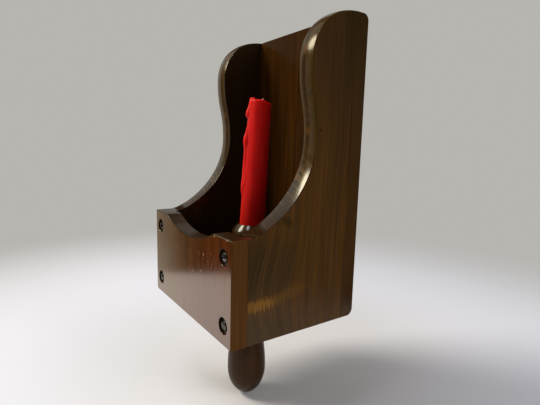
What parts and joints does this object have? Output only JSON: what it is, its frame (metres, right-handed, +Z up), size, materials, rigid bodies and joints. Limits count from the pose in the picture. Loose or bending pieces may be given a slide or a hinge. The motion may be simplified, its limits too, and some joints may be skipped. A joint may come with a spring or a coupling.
{
  "type": "wooden wall candle sconce",
  "caption": "Wall-hung wooden candle sconce: winged box with a scooped front panel, a turned candle cup holding a taper candle, a turned drop below and a keyhole hanger behind.",
  "frame": {"origin": "middle of the back board's rear face, on the wall plane", "axes": "+Z up, +Y into the wall, so the front faces -Y; +X to the right seen from the front"},
  "size_m": [0.14, 0.114, 0.321],
  "materials": {
    "stained_boards": "dark walnut stain under gloss varnish",
    "turned_wood": "dark walnut stain, semi-gloss",
    "screw_steel": "slightly tarnished steel",
    "hanger_steel": "zinc-plated steel",
    "red_wax": "satin red wax",
    "cotton_wick": "waxed cotton"
  },
  "bodies": {
    "sconce_body": {"back_board": "stained_boards", "left_side": "stained_boards", "right_side": "stained_boards", "front_panel": "stained_boards", "bottom_shelf": "stained_boards", "candle_cup": "turned_wood", "drop_finial": "turned_wood", "dowel_screw": "screw_steel", "front_screw_lower_left": "screw_steel", "front_screw_upper_left": "screw_steel", "front_screw_lower_right": "screw_steel", "front_screw_upper_right": "screw_steel", "back_screw_left_1": "screw_steel", "back_screw_left_2": "screw_steel", "back_screw_left_3": "screw_steel", "back_screw_right_1": "screw_steel", "back_screw_right_2": "screw_steel", "back_screw_right_3": "screw_steel", "keyhole_plate": "hanger_steel", "plate_screw_lower": "screw_steel", "plate_screw_upper": "screw_steel"},
    "candle_body": {"candle": "red_wax", "candle_wick": "cotton_wick"}
  },
  "joints": [
    {"name": "candle_lift", "type": "slide", "parent": "sconce_body", "child": "candle_body", "axis": [0, 0.0558, 0.9984], "range_m": [0, 0.045]}
  ]
}
